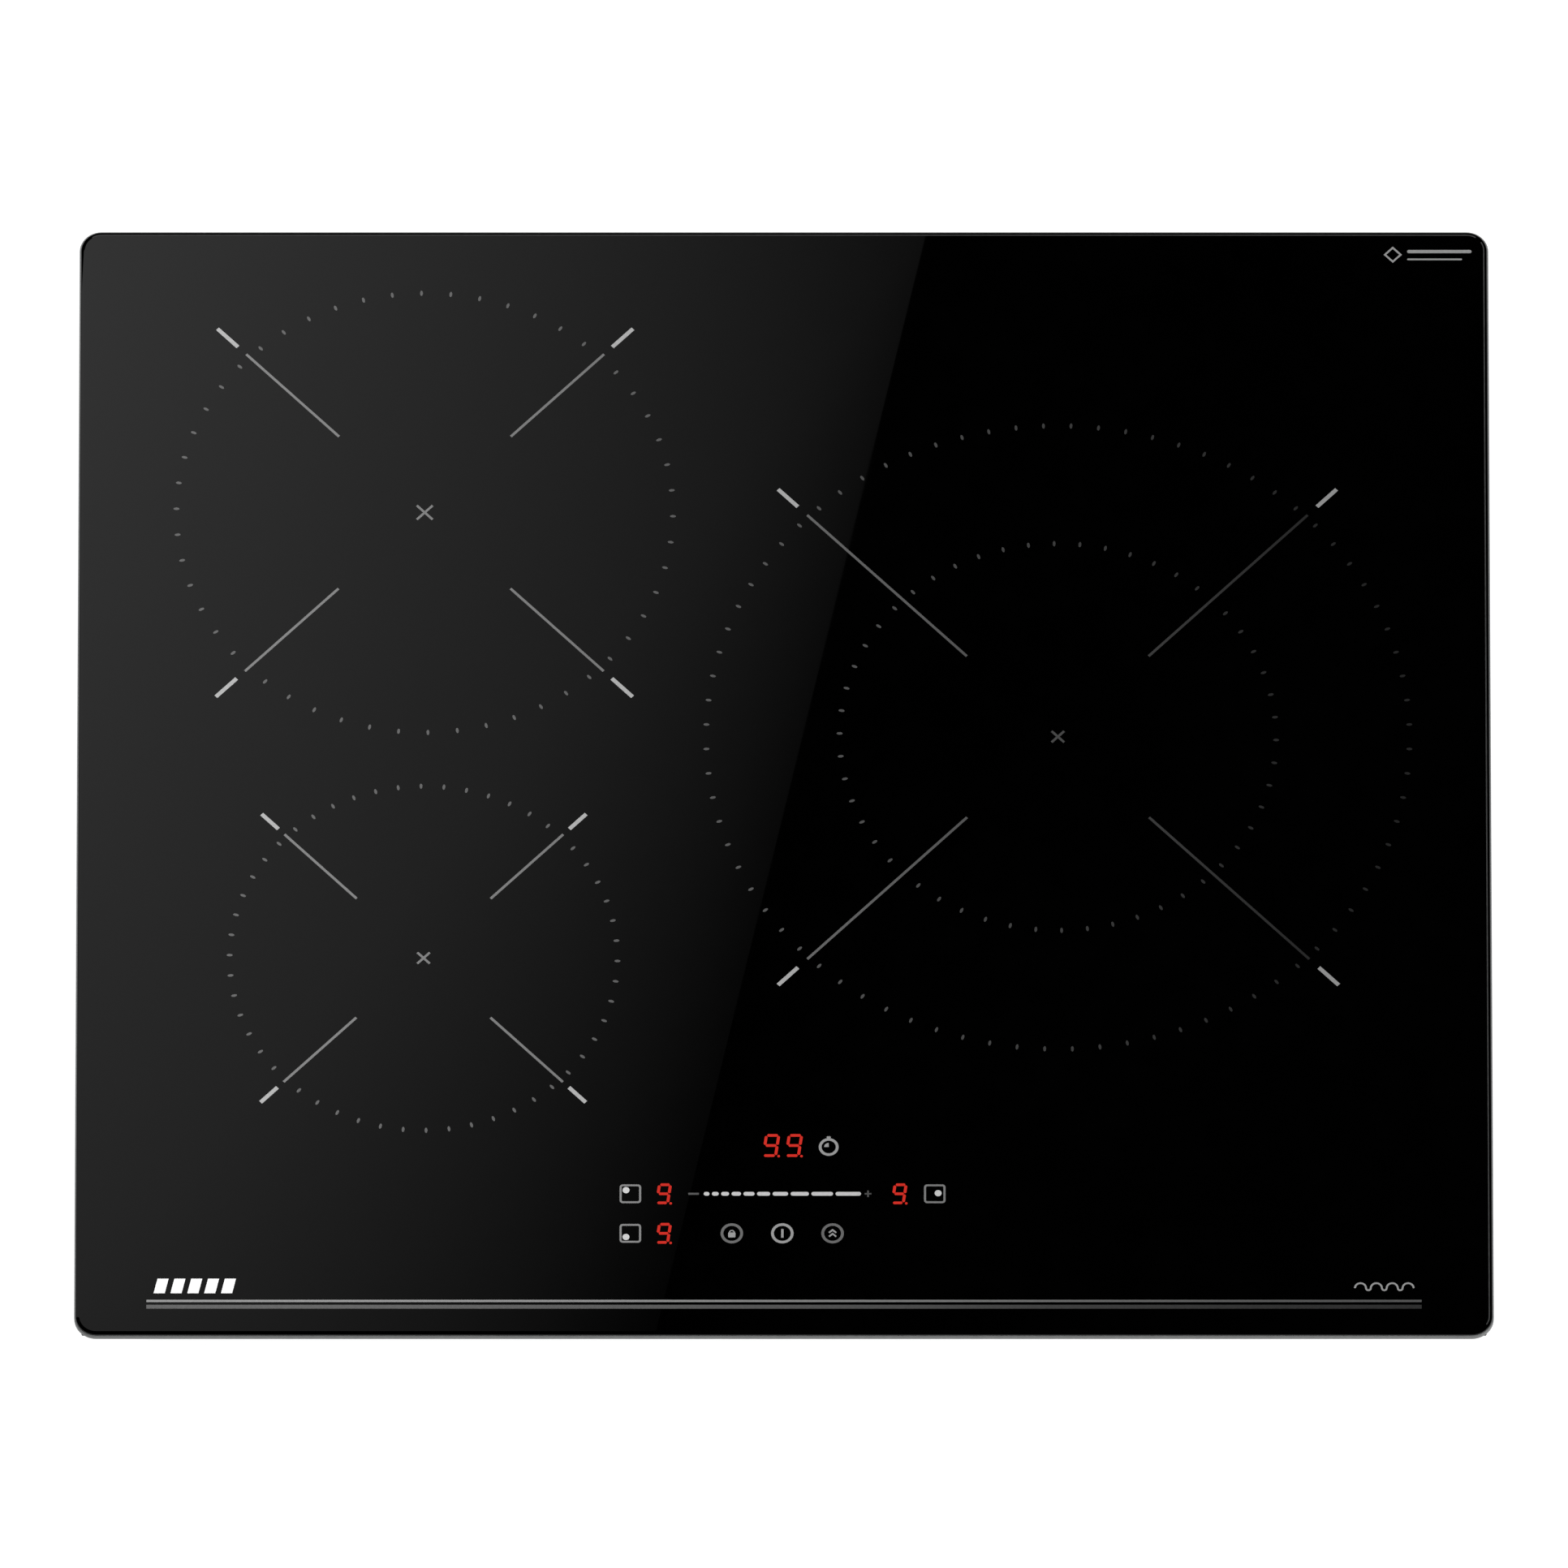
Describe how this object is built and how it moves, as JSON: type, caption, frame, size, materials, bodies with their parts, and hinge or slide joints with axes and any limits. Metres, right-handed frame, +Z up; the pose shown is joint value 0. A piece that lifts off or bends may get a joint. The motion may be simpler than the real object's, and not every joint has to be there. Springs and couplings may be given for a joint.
{
  "type": "induction cooktop",
  "caption": "Built-in induction cooktop: black glass-ceramic panel with printed cooking zones over a steel tray of sprung coils, blower, power board and touch controls.",
  "frame": {"origin": "underside of the casing, at the middle of the panel's outline", "axes": "+X to the user's right along the panel's long side, +Y away from the user, +Z up out of the cooking surface"},
  "size_m": [0.59, 0.52, 0.058],
  "materials": {
    "glass_ceramic": "polished black glass-ceramic",
    "printed_enamel": "fired grey enamel print",
    "lit_digits": "red seven-segment light",
    "seal_foam": "closed-cell foam strip",
    "rubber": "moulded rubber",
    "galvanised_steel": "galvanised sheet",
    "aluminium": "mill finish",
    "spring_steel": "bright spring steel",
    "copper_litz": "enamelled litz wire",
    "mica": "pressed mica sheet",
    "black_plastic": "glass-filled nylon",
    "white_plastic": "moulded white",
    "sensor_ceramic": "unglazed",
    "circuit_board": "green solder mask",
    "ferrite": "sintered ferrite and moulded epoxy",
    "capacitor_case": "moulded case"
  },
  "bodies": {
    "hob_base": {"glass_panel": "glass_ceramic", "seal_front": "seal_foam", "rail_front": "aluminium", "seal_rear": "seal_foam", "rail_rear": "aluminium", "seal_left": "seal_foam", "rail_left": "aluminium", "seal_right": "seal_foam", "rail_right": "aluminium", "casing_tray": "galvanised_steel", "coil_spring_left_rear_1": "spring_steel", "coil_spring_left_rear_2": "spring_steel", "coil_spring_left_rear_3": "spring_steel", "coil_spring_left_front_1": "spring_steel", "coil_spring_left_front_2": "spring_steel", "coil_spring_left_front_3": "spring_steel", "coil_spring_right_1": "spring_steel", "coil_spring_right_2": "spring_steel", "coil_spring_right_3": "spring_steel", "power_board": "circuit_board", "heatsink": "aluminium", "power_module": "ferrite", "bridge_rectifier": "ferrite", "bus_capacitor": "capacitor_case", "filter_choke": "ferrite", "intake_grille": "black_plastic", "fan_housing": "black_plastic", "air_duct": "black_plastic", "control_carrier": "black_plastic", "control_board": "circuit_board", "light_guide": "white_plastic", "terminal_block": "white_plastic", "terminal_cover": "black_plastic", "cable_grommet": "rubber", "clip_foot_left_front": "spring_steel", "clip_foot_left_rear": "spring_steel", "clip_foot_right_front": "spring_steel", "clip_foot_right_rear": "spring_steel"},
    "coil_left_rear": {"coil_carrier_left_rear": "aluminium", "coil_former_left_rear": "black_plastic", "winding_left_rear": "copper_litz", "mica_disc_left_rear": "mica", "temperature_sensor_left_rear": "sensor_ceramic"},
    "coil_left_front": {"coil_carrier_left_front": "aluminium", "coil_former_left_front": "black_plastic", "winding_left_front": "copper_litz", "mica_disc_left_front": "mica", "temperature_sensor_left_front": "sensor_ceramic"},
    "coil_right": {"coil_carrier_right": "aluminium", "coil_former_right": "black_plastic", "winding_right_inner": "copper_litz", "winding_right_outer": "copper_litz", "mica_disc_right": "mica", "temperature_sensor_right": "sensor_ceramic"},
    "fan_rotor": {"fan_rotor": "black_plastic"},
    "clip_left_front": {"clip_blade_left_front": "spring_steel"},
    "clip_left_rear": {"clip_blade_left_rear": "spring_steel"},
    "clip_right_front": {"clip_blade_right_front": "spring_steel"},
    "clip_right_rear": {"clip_blade_right_rear": "spring_steel"}
  },
  "joints": [
    {"name": "coil_left_rear_float", "type": "slide", "parent": "hob_base", "child": "coil_left_rear", "axis": [0, 0, 1], "range_m": [-0.003, 0], "stiffness_N_per_m": 6000, "springref_m": 0.008, "deforming": ["coil_spring_left_rear_1", "coil_spring_left_rear_2", "coil_spring_left_rear_3"]},
    {"name": "coil_left_front_float", "type": "slide", "parent": "hob_base", "child": "coil_left_front", "axis": [0, 0, 1], "range_m": [-0.003, 0], "stiffness_N_per_m": 6000, "springref_m": 0.008, "deforming": ["coil_spring_left_front_1", "coil_spring_left_front_2", "coil_spring_left_front_3"]},
    {"name": "coil_right_float", "type": "slide", "parent": "hob_base", "child": "coil_right", "axis": [0, 0, 1], "range_m": [-0.003, 0], "stiffness_N_per_m": 6000, "springref_m": 0.008, "deforming": ["coil_spring_right_1", "coil_spring_right_2", "coil_spring_right_3"]},
    {"name": "fan_spin", "type": "hinge", "parent": "hob_base", "child": "fan_rotor", "pos_m": [-0.0382, 0.0579, 0.02], "axis": [0, 0, 1], "continuous": true},
    {"name": "clip_left_front_flex", "type": "hinge", "parent": "hob_base", "child": "clip_left_front", "pos_m": [-0.2771, -0.12, 0.01715], "axis": [0, 1, 0], "range_deg": [0, 9], "stiffness_Nm_per_rad": 4},
    {"name": "clip_left_rear_flex", "type": "hinge", "parent": "hob_base", "child": "clip_left_rear", "pos_m": [-0.2771, 0.12, 0.01715], "axis": [0, 1, 0], "range_deg": [0, 9], "stiffness_Nm_per_rad": 4},
    {"name": "clip_right_front_flex", "type": "hinge", "parent": "hob_base", "child": "clip_right_front", "pos_m": [0.2771, -0.12, 0.01715], "axis": [0, -1, 0], "range_deg": [0, 9], "stiffness_Nm_per_rad": 4},
    {"name": "clip_right_rear_flex", "type": "hinge", "parent": "hob_base", "child": "clip_right_rear", "pos_m": [0.2771, 0.12, 0.01715], "axis": [0, -1, 0], "range_deg": [0, 9], "stiffness_Nm_per_rad": 4}
  ]
}
